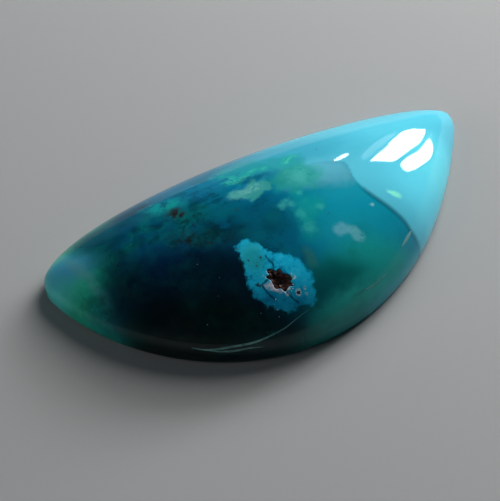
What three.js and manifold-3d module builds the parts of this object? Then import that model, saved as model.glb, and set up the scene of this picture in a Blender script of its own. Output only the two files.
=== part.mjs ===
// A polished freeform cabochon of gem silica: a blue-green chalcedony coloured by copper.
// The plan is a half moon with two soft points, a low upright wall and a smooth crowned dome.
// One small open vug breaks the dome near its fuller edge, lined with dark copper-ore crystals.
// Millimetres, +Z up, +X along the stone from its blunt tip to its sharp tip, origin under its middle.
import * as THREE from 'three';
import { mergeVertices } from 'three/addons/utils/BufferGeometryUtils.js';
import Module from 'manifold-3d';

// Driving dimensions of the stone
const LENGTH = 36; // between the two tips, before they are rounded
const HEIGHT = 6.2; // flat back to the crown of the dome
const WALL_TOP = 0.9; // where the upright wall ends and the dome begins
const BACK_BEVEL = 0.3; // small ground edge around the flat back
const TIP_ROUNDING = 0.9; // how far from a tip its rounding starts

// The plan's two long edges are cubic curves between the tips, which lie on the X axis
const LEFT_TIP = new THREE.Vector2(-LENGTH / 2, 0);
const RIGHT_TIP = new THREE.Vector2(LENGTH / 2, 0);
const NEAR_PULLS = [new THREE.Vector2(-16.0, -10.9), new THREE.Vector2(1.2, -23.8)];
const FAR_PULLS = [new THREE.Vector2(21.1, 4.3), new THREE.Vector2(-16.3, 6.4)];

// The dome: its rings pass from the outline to an oval as they climb
const DOME_FULLNESS = 2.3; // power of the distance from the middle
const DOME_SHOULDER = 1.7; // root of the height, lower is softer
const OVAL_SHARE = 0.92; // the oval's size against the outline's box
const POINTS_AROUND = 112;
const DOME_RINGS = 22;

// The vug, about its own middle on the dome, with its long axis turned in plan
const VUG_PLACE = new THREE.Vector2(-3.95, -5.43);
const VUG_HALF_LENGTH = 0.97;
const VUG_HALF_WIDTH = 0.62;
const VUG_TURN = THREE.MathUtils.degToRad(121);
const VUG_DEPTH = 0.8;
const VUG_LOBES = [
  { count: 3, height: 0.08, turn: 0.4 },
  { count: 7, height: 0.12, turn: 1.9 },
  { count: 11, height: 0.05, turn: 0.2 },
];
const VUG_POINTS = 44;
// Each step down the vug's wall: depth as a share of its full depth, and width as a share of its mouth
const VUG_STEPS = [[-0.9, 1.0], [0.1, 1.0], [0.55, 0.86], [0.85, 0.62], [1.0, 0.3]];

// The crystals in it
const CRUST_GAP = 0.06; // clear of the stone all round
const CRUST_TOP = 0.5; // depth of the crust's bed, as a share of the vug's depth
const CRYSTAL_COUNT = 34;
const CRYSTAL_SIZES = [0.1, 0.2]; // smallest and largest, centre to corner
const CRYSTAL_SINK = 0.35; // share of a crystal that is buried in the bed
const CRYSTAL_REACH = 0.85; // how far out the outermost crystal stands, as a share of the mouth
const GOLDEN_ANGLE = Math.PI * (3 - Math.sqrt(5)); // spreads the crystals evenly

// Colours seen in the stone
const STONE_COLOUR = 0x0f7f93;
const CRYSTAL_COLOUR = 0x2a0f0c;

const wasm = await Module();
wasm.setup();

// A repeatable random number between 0 and 1 for each index
function scatter(index, salt) {
  const wave = Math.sin(index * 127.1 + salt * 311.7) * 43758.5453;
  return wave - Math.floor(wave);
}

// The part of a curve that lies outside both tips' roundings
function trimmed(curve) {
  const outsideTips = (p) =>
    p.distanceTo(LEFT_TIP) > TIP_ROUNDING && p.distanceTo(RIGHT_TIP) > TIP_ROUNDING;
  return curve.getPoints(400).filter(outsideTips);
}

// The rounding at a tip, without its two end points
function rounding(from, tip, to) {
  return new THREE.QuadraticBezierCurve(from, tip, to).getPoints(12).slice(1, -1);
}

// Points at equal steps along a closed line
function evenlySpaced(points, count) {
  const lengths = [0];
  points.forEach((p, i) => lengths.push(lengths[i] + p.distanceTo(points[(i + 1) % points.length])));
  const total = lengths[points.length];
  const spaced = [];
  let segment = 0;
  for (let i = 0; i < count; i += 1) {
    const along = (total * i) / count;
    while (lengths[segment + 1] < along) segment += 1;
    const share = (along - lengths[segment]) / (lengths[segment + 1] - lengths[segment]);
    const next = points[(segment + 1) % points.length];
    spaced.push(points[segment].clone().lerp(next, share));
  }
  return spaced;
}

// The stone's plan, anticlockwise seen from above, centred on its own box
function stoneOutline() {
  const near = trimmed(new THREE.CubicBezierCurve(LEFT_TIP, ...NEAR_PULLS, RIGHT_TIP));
  const far = trimmed(new THREE.CubicBezierCurve(RIGHT_TIP, ...FAR_PULLS, LEFT_TIP));
  const rightEnd = rounding(near[near.length - 1], RIGHT_TIP, far[0]);
  const leftEnd = rounding(far[far.length - 1], LEFT_TIP, near[0]);
  const outline = evenlySpaced([...near, ...rightEnd, ...far, ...leftEnd], POINTS_AROUND);
  const middle = new THREE.Box2().setFromPoints(outline).getCenter(new THREE.Vector2());
  return outline.map((p) => p.clone().sub(middle));
}

// A closed solid through rings of equal point counts, from the lowest ring to the highest,
// each end closed by a fan about the point given for it
function loft(rings, bottom, top) {
  const count = rings[0].length;
  const corners = [];
  const face = (a, b, c) => corners.push(...a.toArray(), ...b.toArray(), ...c.toArray());
  for (let i = 0; i < count; i += 1) {
    const j = (i + 1) % count;
    face(bottom, rings[0][j], rings[0][i]);
    for (let k = 0; k + 1 < rings.length; k += 1) {
      face(rings[k][i], rings[k][j], rings[k + 1][j]);
      face(rings[k][i], rings[k + 1][j], rings[k + 1][i]);
    }
    face(top, rings[rings.length - 1][i], rings[rings.length - 1][j]);
  }
  const geometry = new THREE.BufferGeometry();
  geometry.setAttribute('position', new THREE.Float32BufferAttribute(corners, 3));
  return mergeVertices(geometry, 1e-6);
}

// The whole stone before the vug is cut
function stoneBlank() {
  const outline = stoneOutline();
  const half = new THREE.Box2().setFromPoints(outline).getSize(new THREE.Vector2()).divideScalar(2);
  const oval = outline.map((p) => {
    const angle = Math.atan2(p.y / half.y, p.x / half.x);
    return new THREE.Vector2(half.x * Math.cos(angle), half.y * Math.sin(angle)).multiplyScalar(OVAL_SHARE);
  });
  const bevelled = (p) =>
    new THREE.Vector3(p.x * (1 - BACK_BEVEL / half.x), p.y * (1 - BACK_BEVEL / half.y), 0);
  const rings = [outline.map(bevelled), outline.map((p) => new THREE.Vector3(p.x, p.y, BACK_BEVEL))];
  for (let k = 0; k < DOME_RINGS; k += 1) {
    // Rings crowd towards the edge, where the dome is steepest, and turn into the oval inwards
    const spread = Math.cos((k / DOME_RINGS) * (Math.PI / 2));
    const rise = (1 - spread ** DOME_FULLNESS) ** (1 / DOME_SHOULDER);
    const height = WALL_TOP + (HEIGHT - WALL_TOP) * rise;
    rings.push(outline.map((p, i) => {
      const flat = oval[i].clone().lerp(p, spread).multiplyScalar(spread);
      return new THREE.Vector3(flat.x, flat.y, height);
    }));
  }
  return loft(rings, new THREE.Vector3(0, 0, 0), new THREE.Vector3(0, 0, HEIGHT));
}

// Where the vug opens: a frame with its Z along the dome's outward direction
function vugFrame(blank) {
  const probe = new THREE.Mesh(blank, new THREE.MeshBasicMaterial());
  const above = new THREE.Vector3(VUG_PLACE.x, VUG_PLACE.y, HEIGHT * 2);
  const [hit] = new THREE.Raycaster(above, new THREE.Vector3(0, 0, -1)).intersectObject(probe);
  const out = hit.face.normal.clone();
  const across = new THREE.Vector3(0, 1, 0).cross(out).normalize();
  const along = out.clone().cross(across);
  const turn = new THREE.Matrix4().makeRotationZ(VUG_TURN);
  return new THREE.Matrix4().makeBasis(across, along, out).setPosition(hit.point).multiply(turn);
}

// The vug's jagged mouth, drawn in by a gap where the crust needs one
function vugMouth(gap) {
  const mouth = [];
  for (let i = 0; i < VUG_POINTS; i += 1) {
    const angle = (i / VUG_POINTS) * 2 * Math.PI;
    const waves = VUG_LOBES.map((lobe) => lobe.height * Math.cos(lobe.count * angle + lobe.turn));
    const jag = waves.reduce((sum, wave) => sum + wave, 1);
    const x = (VUG_HALF_LENGTH * jag - gap) * Math.cos(angle);
    const y = (VUG_HALF_WIDTH * jag - gap) * Math.sin(angle);
    mouth.push(new THREE.Vector2(x, y));
  }
  return mouth;
}

// The vug's hollow as a solid, from its bottom up, in its own frame
function vugHollow(gap) {
  const mouth = vugMouth(gap);
  const rings = VUG_STEPS.map(([depth, width]) =>
    mouth.map((p) => new THREE.Vector3(p.x * width, p.y * width, gap - depth * VUG_DEPTH)));
  const heights = VUG_STEPS.map(([depth]) => gap - depth * VUG_DEPTH);
  const bottom = new THREE.Vector3(0, 0, Math.min(...heights));
  const top = new THREE.Vector3(0, 0, Math.max(...heights));
  return loft(rings.reverse(), bottom, top);
}

// A three.js geometry as a manifold solid, and back
function toSolid(geometry) {
  const bare = new THREE.BufferGeometry();
  bare.setAttribute('position', geometry.getAttribute('position').clone());
  bare.setIndex(geometry.getIndex());
  const merged = mergeVertices(bare, 1e-6);
  return new wasm.Manifold(new wasm.Mesh({
    numProp: 3,
    vertProperties: new Float32Array(merged.getAttribute('position').array),
    triVerts: new Uint32Array(merged.getIndex().array),
  }));
}

function toGeometry(solid) {
  const mesh = solid.getMesh();
  const geometry = new THREE.BufferGeometry();
  geometry.setAttribute('position', new THREE.BufferAttribute(new Float32Array(mesh.vertProperties), 3));
  geometry.setIndex(new THREE.BufferAttribute(new Uint32Array(mesh.triVerts), 1));
  geometry.computeVertexNormals();
  return geometry;
}

// One eight-sided crystal, standing out of the crust's bed
function crystal(index) {
  const [smallest, largest] = CRYSTAL_SIZES;
  const size = smallest + (largest - smallest) * scatter(index, 1) ** 2;
  const angle = index * GOLDEN_ANGLE;
  const reach = Math.sqrt((index + 0.5) / CRYSTAL_COUNT) * CRYSTAL_REACH;
  const shape = new THREE.OctahedronGeometry(size, 0);
  shape.rotateX(scatter(index, 2) * Math.PI);
  shape.rotateY(scatter(index, 3) * Math.PI);
  const along = VUG_HALF_LENGTH * reach * Math.cos(angle);
  const across = VUG_HALF_WIDTH * reach * Math.sin(angle);
  const depth = VUG_DEPTH * CRUST_TOP - size * (1 - CRYSTAL_SINK * 2);
  shape.translate(along, across, -depth);
  shape.deleteAttribute('normal');
  shape.deleteAttribute('uv');
  return mergeVertices(shape, 1e-6);
}

// The crystals and the bed that they stand on, cut to the vug with a clear gap
function crystalCrust() {
  const room = toSolid(vugHollow(CRUST_GAP));
  const bedSide = VUG_HALF_LENGTH * 4;
  const bed = new THREE.BoxGeometry(bedSide, bedSide, VUG_DEPTH);
  bed.translate(0, 0, -VUG_DEPTH * (CRUST_TOP + 0.5));
  bed.deleteAttribute('normal');
  bed.deleteAttribute('uv');
  let crust = toSolid(mergeVertices(bed, 1e-6));
  for (let index = 0; index < CRYSTAL_COUNT; index += 1) {
    crust = crust.add(toSolid(crystal(index)));
  }
  // A crystal's far corner may lie behind a jag of the wall, so only the joined body is kept
  const [joined] = crust.intersect(room).decompose().sort((a, b) => b.volume() - a.volume());
  return toGeometry(joined);
}

const blank = stoneBlank();
const toVug = vugFrame(blank);
const stone = new THREE.Mesh(
  toGeometry(toSolid(blank).subtract(toSolid(vugHollow(0).applyMatrix4(toVug)))),
  new THREE.MeshStandardMaterial({ color: STONE_COLOUR, roughness: 0.06, metalness: 0 }),
);
stone.name = 'gem_silica_cabochon';

const crust = new THREE.Mesh(
  crystalCrust().applyMatrix4(toVug),
  new THREE.MeshStandardMaterial({ color: CRYSTAL_COLOUR, roughness: 0.35, metalness: 0 }),
);
crust.name = 'vug_crystals';

const gemSilica = new THREE.Group();
gemSilica.add(stone, crust);

export default gemSilica;
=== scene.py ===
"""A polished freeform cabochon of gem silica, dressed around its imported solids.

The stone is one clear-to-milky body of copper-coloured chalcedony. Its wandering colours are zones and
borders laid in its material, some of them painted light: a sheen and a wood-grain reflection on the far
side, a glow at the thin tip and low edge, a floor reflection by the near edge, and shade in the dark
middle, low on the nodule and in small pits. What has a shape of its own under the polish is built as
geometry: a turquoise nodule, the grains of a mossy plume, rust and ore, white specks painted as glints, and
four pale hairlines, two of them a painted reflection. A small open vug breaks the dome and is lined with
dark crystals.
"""

import logging
import math
from dataclasses import dataclass, field
from enum import Enum

import bpy
import numpy as np
from mathutils import Matrix, Vector, noise
from mathutils.bvhtree import BVHTree


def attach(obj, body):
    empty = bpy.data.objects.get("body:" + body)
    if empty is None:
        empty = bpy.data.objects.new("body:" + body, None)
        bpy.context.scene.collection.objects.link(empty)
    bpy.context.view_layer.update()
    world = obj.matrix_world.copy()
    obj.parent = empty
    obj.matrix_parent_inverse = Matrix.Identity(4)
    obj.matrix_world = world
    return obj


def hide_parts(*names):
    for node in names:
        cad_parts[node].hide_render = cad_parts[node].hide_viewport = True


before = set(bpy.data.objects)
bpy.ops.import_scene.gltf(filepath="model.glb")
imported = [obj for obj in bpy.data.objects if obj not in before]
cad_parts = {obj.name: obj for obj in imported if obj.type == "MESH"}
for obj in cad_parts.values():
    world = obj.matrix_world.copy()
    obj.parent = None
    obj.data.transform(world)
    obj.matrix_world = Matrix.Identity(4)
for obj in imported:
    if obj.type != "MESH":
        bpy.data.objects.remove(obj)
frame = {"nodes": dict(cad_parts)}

Tree = bpy.types.NodeTree
Socket = bpy.types.NodeSocket
Material = bpy.types.Material
Piece = bpy.types.Object

log = logging.getLogger("gem_silica")

MM = 0.001
BODY = "root"
STONE_NODE = "gem_silica_cabochon"
CRYSTAL_NODE = "vug_crystals"
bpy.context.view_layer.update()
# Past this many radii, a distance that the mesh carries tells nothing more
FAR_AWAY = 9.0
# How far down a zone of colour goes, in millimetres: through any stone
ENDLESS = 1e4
# How much of its range from 0 to 1 cloudy noise makes real use of
NOISE_SPREAD = 0.3
FIRST_SEED = 3
SPECK_SEED = 5
CRYSTAL_SEED = 7


class Slot(Enum):
    """The record's material slots."""

    GEM = "gem_silica"
    ORE = "copper_ore_crystals"


def linear(code: str) -> tuple[float, float, float, float]:
    """Turns an sRGB hex colour to linear light.

    Args:
        code: Six hex digits, such as "1B8FA6".

    Returns:
        Red, green, blue and an alpha of 1.
    """
    parts = [int(code[i : i + 2], 16) / 255 for i in (0, 2, 4)]
    red, green, blue = (c / 12.92 if c <= 0.04045 else ((c + 0.055) / 1.055) ** 2.4 for c in parts)
    return red, green, blue, 1.0


def direction(compass: float, climb: float) -> Vector:
    """The direction at a compass angle from +Y towards +X, and a climb from the horizon, in degrees."""
    round_by, up = math.radians(compass), math.radians(climb)
    return Vector((math.sin(round_by) * math.cos(up), math.cos(round_by) * math.cos(up), math.sin(up)))


def add_node(tree: Tree, kind: str, inputs: dict | None = None, **settings) -> bpy.types.Node:
    """Adds one node with its settings, values and links.

    Args:
        tree: The tree that the node joins.
        kind: Blender's own name of the node.
        inputs: Its sockets by name or index, each with a value, or with a socket to link from.
        **settings: Its properties.

    Returns:
        The new node.
    """
    node = tree.nodes.new(kind)
    for name, value in settings.items():
        setattr(node, name, value)
    for key, value in (inputs or {}).items():
        if isinstance(value, Socket):
            tree.links.new(value, node.inputs[key])
        else:
            node.inputs[key].default_value = value
    return node


def calculate(tree: Tree, operation: str, *values: Socket | float) -> Socket:
    """A value worked out from one or two others, each a socket or a number."""
    return add_node(tree, "ShaderNodeMath", dict(enumerate(values)), operation=operation).outputs[0]


def smooth_step(tree: Tree, value: Socket, low: float, high: float, most: float = 1.0) -> Socket:
    """A smooth step of a value, from 0 at low to the most at high."""
    limits = {"Value": value, "From Min": low, "From Max": high, "To Max": most}
    return add_node(tree, "ShaderNodeMapRange", limits, interpolation_type="SMOOTHSTEP").outputs[0]


def mixed_colour(tree: Tree, share: Socket, first: Socket | str, second: Socket | str) -> Socket:
    """A colour between two others, each a socket or a hex colour."""
    ends = [linear(end) if isinstance(end, str) else end for end in (first, second)]
    inputs = {"Factor": share, 6: ends[0], 7: ends[1]}
    return add_node(tree, "ShaderNodeMix", inputs, data_type="RGBA").outputs[2]


def blotches(tree: Tree, size: float, detail: float, low: float, high: float) -> Socket:
    """Soft blotches from 0 to 1, with features of a size in millimetres."""
    place = add_node(tree, "ShaderNodeTexCoord").outputs["Object"]
    features = {"Vector": place, "Scale": 1 / (size * MM), "Detail": detail}
    cloud = add_node(tree, "ShaderNodeTexNoise", features).outputs[0]
    limits = {"Value": cloud, "From Min": low, "From Max": high}
    return add_node(tree, "ShaderNodeMapRange", limits).outputs[0]


def new_tree(holder: Material | bpy.types.World) -> Tree:
    """The emptied node tree of a new material or world."""
    holder.use_nodes = True
    holder.node_tree.nodes.clear()
    return holder.node_tree


def new_object(name: str, points: np.ndarray, faces: list, materials: list) -> Piece:
    """Makes a smooth mesh object from points in millimetres.

    Args:
        name: The object's name.
        points: One row for each vertex, in millimetres.
        faces: Vertex indices of each face.
        materials: Materials in slot order.

    Returns:
        The object, linked to the scene.
    """
    mesh = bpy.data.meshes.new(name)
    mesh.from_pydata((np.asarray(points) * MM).tolist(), [], faces)
    mesh.polygons.foreach_set("use_smooth", [True] * len(mesh.polygons))
    for material in materials:
        mesh.materials.append(material)
    mesh.update()
    piece = bpy.data.objects.new(name, mesh)
    bpy.context.scene.collection.objects.link(piece)
    return piece


def keep(piece: Piece, replaced: str | None = None) -> Piece:
    """Declares a finished piece to the frame, and reports it.

    Args:
        piece: The finished piece.
        replaced: The CAD node that it stands for, if any.

    Returns:
        The same piece.
    """
    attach(piece, BODY)
    if replaced:
        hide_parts(replaced)
    log.info("%s: %d faces", piece.name, len(piece.data.polygons))
    return piece


def crowded(count: int, focus: float, spread: float, gain: float, closed: bool) -> np.ndarray:
    """Steps from 0 to 1 that crowd together near a focus.

    Args:
        count: How many values are wanted.
        focus: Where the steps are shortest.
        spread: How far the crowding reaches.
        gain: How many times shorter the steps get, less one.
        closed: Whether 1 is the same place as 0, and so left out.

    Returns:
        The values, rising from 0.
    """
    fine = np.linspace(0, 1, 6001)
    away = fine - focus
    if closed:
        away = (away + 0.5) % 1 - 0.5
    density = 1 + gain * np.exp(-((away / spread) ** 2))
    run = np.concatenate([[0], np.cumsum((density[1:] + density[:-1]) / 2)])
    wanted = np.linspace(0, run[-1], count + 1 if closed else count)
    values = np.interp(wanted, run, fine)
    return values[:-1] if closed else values


def ring_faces(columns: int, rings: int) -> list[tuple[int, int, int, int]]:
    """Quads between rings of equal counts, facing outwards where the rings run upwards."""
    faces = []
    for k in range(rings - 1):
        low, high = k * columns, (k + 1) * columns
        for i in range(columns):
            j = (i + 1) % columns
            faces.append((low + i, low + j, high + j, high + i))
    return faces


def capped(rings: list[np.ndarray], low: np.ndarray, high: np.ndarray) -> tuple[np.ndarray, list]:
    """Closes a stack of rings with a fan of triangles at each end.

    Args:
        rings: Rings of equal counts, which run upwards.
        low: The middle of the lower fan.
        high: The middle of the upper fan.

    Returns:
        Points and faces.
    """
    points = np.concatenate([*rings, [low, high]])
    columns = len(rings[0])
    faces = ring_faces(columns, len(rings))
    last = (len(rings) - 1) * columns
    for i in range(columns):
        j = (i + 1) % columns
        faces.append((len(points) - 2, j, i))
        faces.append((len(points) - 1, last + i, last + j))
    return points, faces


@dataclass(frozen=True)
class CabochonForm:
    """The polished form of the stone, in millimetres: the same plan and dome as its solid."""

    length: float = 36.0
    height: float = 6.2
    wall_top: float = 0.9
    back_bevel: float = 0.3
    tip_rounding: float = 0.9
    near_pulls: tuple = ((-16.0, -10.9), (1.2, -23.8))
    far_pulls: tuple = ((21.1, 4.3), (-16.3, 6.4))
    fullness: float = 2.3
    shoulder: float = 1.7
    oval_share: float = 0.92

    def outline(self) -> np.ndarray:
        """The plan's closed outline at equal steps, anticlockwise, centred on its own box."""
        left = np.array([-self.length / 2, 0.0])
        right = -left

        def cubic(start: np.ndarray, pulls: tuple, end: np.ndarray) -> np.ndarray:
            """Points of a cubic curve that lie outside both tips' roundings."""
            t = np.linspace(0, 1, 1201)[:, None]
            first, second = np.array(pulls[0]), np.array(pulls[1])
            curve = (1 - t) ** 3 * start + 3 * (1 - t) ** 2 * t * first
            curve = curve + 3 * (1 - t) * t * t * second + t**3 * end
            clear = [np.linalg.norm(curve - tip, axis=1) > self.tip_rounding for tip in (left, right)]
            return curve[clear[0] & clear[1]]

        def rounding(start: np.ndarray, tip: np.ndarray, end: np.ndarray) -> np.ndarray:
            """The curve that rounds a tip, without its two end points."""
            t = np.linspace(0, 1, 41)[1:-1, None]
            return (1 - t) ** 2 * start + 2 * (1 - t) * t * tip + t * t * end

        near, far = cubic(left, self.near_pulls, right), cubic(right, self.far_pulls, left)
        right_tip, left_tip = rounding(near[-1], right, far[0]), rounding(far[-1], left, near[0])
        line = np.concatenate([near, right_tip, far, left_tip])
        return line - (line.min(0) + line.max(0)) / 2

    def edge(self, around: np.ndarray) -> np.ndarray:
        """Points of the outline.

        Args:
            around: Shares of the way round, from 0 to 1.

        Returns:
            One x and y for each share.
        """
        line = self.outline()
        closed = np.concatenate([line, line[:1]])
        run = np.concatenate([[0], np.cumsum(np.linalg.norm(np.diff(closed, axis=0), axis=1))])
        run /= run[-1]
        return np.stack([np.interp(around, run, closed[:, 0]), np.interp(around, run, closed[:, 1])], 1)

    def oval(self, edge: np.ndarray) -> np.ndarray:
        """The oval that the rings turn into, matched point by point to the outline."""
        half = np.abs(self.outline()).max(0)
        angle = np.arctan2(edge[:, 1] / half[1], edge[:, 0] / half[0])
        return np.stack([half[0] * np.cos(angle), half[1] * np.sin(angle)], 1) * self.oval_share

    def dome_ring(self, edge: np.ndarray, inward: float) -> np.ndarray:
        """One ring of the dome.

        Args:
            edge: The outline's points.
            inward: 0 at the wall's top, 1 at the crown.

        Returns:
            The ring's points.
        """
        spread = math.cos(inward * math.pi / 2)
        flat = spread * (edge * spread + self.oval(edge) * (1 - spread))
        rise = max(1 - spread**self.fullness, 0) ** (1 / self.shoulder)
        return np.c_[flat, np.full(len(edge), self.wall_top + (self.height - self.wall_top) * rise)]

    def wall_rings(self, edge: np.ndarray) -> list[np.ndarray]:
        """The back's rounded bevel and the upright wall, from the back upwards."""
        half = np.abs(self.outline()).max(0)
        rings = []
        for angle in np.linspace(math.pi / 2, 0, 5):
            inset = self.back_bevel * (1 - math.cos(angle))
            low = self.back_bevel * (1 - math.sin(angle))
            rings.append(np.c_[edge * (1 - inset / half), np.full(len(edge), low)])
        for share in (0.33, 0.67):
            low = self.back_bevel + (self.wall_top - self.back_bevel) * share
            rings.append(np.c_[edge, np.full(len(edge), low)])
        return rings


class Dome:
    """The dome as a surface that other pieces are placed under."""

    def __init__(self, form: CabochonForm) -> None:
        """Builds a plain grid of the dome and a tree to cast rays on."""
        self.form = form
        # A column for every degree, and rings that stop just short of the crown
        self.around = np.linspace(0, 1, 361)[:-1]
        self.inward = np.linspace(0, 0.9999, 141)
        edge = form.edge(self.around)
        self.points = np.array([form.dome_ring(edge, r) for r in self.inward])
        faces = ring_faces(len(self.around), len(self.inward))
        self.tree = BVHTree.FromPolygons([Vector(p) for p in self.points.reshape(-1, 3)], faces)

    def hit(self, x: float, y: float) -> tuple[Vector, Vector]:
        """The point of the dome over a place in plan, and the outward direction there."""
        spot, out, _, _ = self.tree.ray_cast(Vector((x, y, self.form.height * 2)), Vector((0, 0, -1)))
        if spot is None:
            raise ValueError(f"no dome over {x}, {y}")
        return spot, (out if out.z > 0 else -out)

    def under(self, x: float, y: float, depth: float) -> Vector:
        """A point some depth under the polish, in millimetres."""
        spot, out = self.hit(x, y)
        return spot - out * depth

    def grid_place(self, spot: Vector) -> tuple[float, float]:
        """How far round and how far inward the grid's nearest point to a spot is."""
        away = np.linalg.norm(self.points - np.array(spot), axis=2)
        ring, column = np.unravel_index(away.argmin(), away.shape)
        return float(self.around[column]), float(self.inward[ring])


@dataclass
class Vug:
    """The small open vug, in millimetres: its jagged mouth and how it narrows with depth."""

    dome: Dome
    place: tuple[float, float] = (-3.95, -5.43)
    half_length: float = 0.97
    half_width: float = 0.62
    turn: float = math.radians(121)
    depth: float = 0.8
    lobes: tuple = ((3, 0.08, 0.4), (7, 0.12, 1.9), (11, 0.05, 0.2))
    # Reach from the middle as a share of the mouth, and depth there as a share of the full depth
    steps: tuple = ((0.0, 1.0), (0.3, 1.0), (0.62, 0.85), (0.86, 0.55), (0.96, 0.2), (1.02, 0.0))
    # The floor is deeper and shallower by this share, in bumps of about a seventh of a millimetre
    roughness: float = 0.14
    bumps_per_mm: float = 7.0
    frame: Matrix = field(init=False)

    def __post_init__(self) -> None:
        """Sets the vug's own frame: its long way, its width, and out of the dome."""
        spot, out = self.dome.hit(*self.place)
        across = Vector((0, 1, 0)).cross(out).normalized()
        along = out.cross(across)
        base = Matrix((across, along, out)).transposed().to_4x4()
        self.frame = Matrix.Translation(spot) @ base @ Matrix.Rotation(self.turn, 4, "Z")

    def jag(self, angle: np.ndarray) -> np.ndarray:
        """How far out the mouth reaches at an angle, against its plain oval."""
        return 1 + sum(height * np.cos(count * angle + turn) for count, height, turn in self.lobes)

    def reach(self, points: np.ndarray) -> np.ndarray:
        """How far points lie from the vug's middle: 1 is at its mouth."""
        turned = np.array(self.frame.to_3x3())
        local = points @ turned - np.array(self.frame.translation) @ turned
        x, y = local[:, 0] / self.half_length, local[:, 1] / self.half_width
        return np.hypot(x, y) / self.jag(np.arctan2(y, x))

    def sink(self, points: np.ndarray, room: float = 1.0) -> np.ndarray:
        """Pushes points of the dome down into the vug.

        Args:
            points: Points on the dome.
            room: How many times wider than the vug the hollow is.

        Returns:
            The moved points.
        """
        reach = self.reach(points) / room
        reaches, depths = zip(*self.steps)
        down = np.interp(reach, reaches, depths) * self.depth
        rugged = [noise.noise(Vector(p) * self.bumps_per_mm) for p in points[reach < 1]]
        down[reach < 1] *= 1 + self.roughness * np.array(rugged)
        return points - down[:, None] * np.array(self.frame.col[2])[None, :3]


@dataclass(frozen=True)
class PlanLine:
    """A smooth line through points in plan, in millimetres."""

    points: tuple
    closed: bool = False

    def fine(self) -> np.ndarray:
        """The line at eight steps from each of its points to the next."""
        spots = np.array(self.points, float)
        if self.closed:
            spots = np.concatenate([spots[-1:], spots, spots[:2]])
        else:
            spots = np.concatenate([spots[:1] * 2 - spots[1:2], spots, spots[-1:] * 2 - spots[-2:-1]])
        t = np.linspace(0, 1, 9)[:-1, None]
        spans = []
        for a, b, c, d in zip(spots, spots[1:], spots[2:], spots[3:]):
            bend, twist = 2 * a - 5 * b + 4 * c - d, 3 * b - a - 3 * c + d
            spans.append((2 * b + (c - a) * t + bend * t**2 + twist * t**3) / 2)
        return np.concatenate(spans + [spots[-2:-1]])

    def side(self, places: np.ndarray) -> np.ndarray:
        """How far places lie from the line.

        Args:
            places: One x and y for each place.

        Returns:
            Distances in millimetres, above 0 on the line's left, which is inside an anticlockwise loop.
        """
        line = self.fine()
        nearest = np.full(len(places), np.inf)
        side = np.ones(len(places))
        for start, end in zip(line, line[1:]):
            run = end - start
            off = places - start
            share = np.clip(off @ run / (run @ run), 0, 1)
            away = np.linalg.norm(off - share[:, None] * run, axis=1)
            closer = away < nearest
            nearest[closer] = away[closer]
            side[closer] = np.sign(run[0] * off[closer, 1] - run[1] * off[closer, 0])
        return nearest * side


@dataclass(frozen=True)
class Region:
    """A part of the stone with a border of its own, drawn in plan."""

    name: str
    border: PlanLine
    colour: str
    clearness: float
    soft: float
    wander: float = 0.0
    strength: float = 1.0


@dataclass(frozen=True)
class Zone:
    """A clouded zone in the stone: an oval in plan, in millimetres, that goes through its depth."""

    at: tuple[float, float]
    half: tuple[float, float]
    colour: str
    clearness: float
    strength: float = 1.0
    turn: float = -28.0
    soft: float = 0.3
    # Grains that break it up: size in millimetres, the share that they cover, and how blurred they are
    grains: tuple[float, float, float] | None = None


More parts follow.
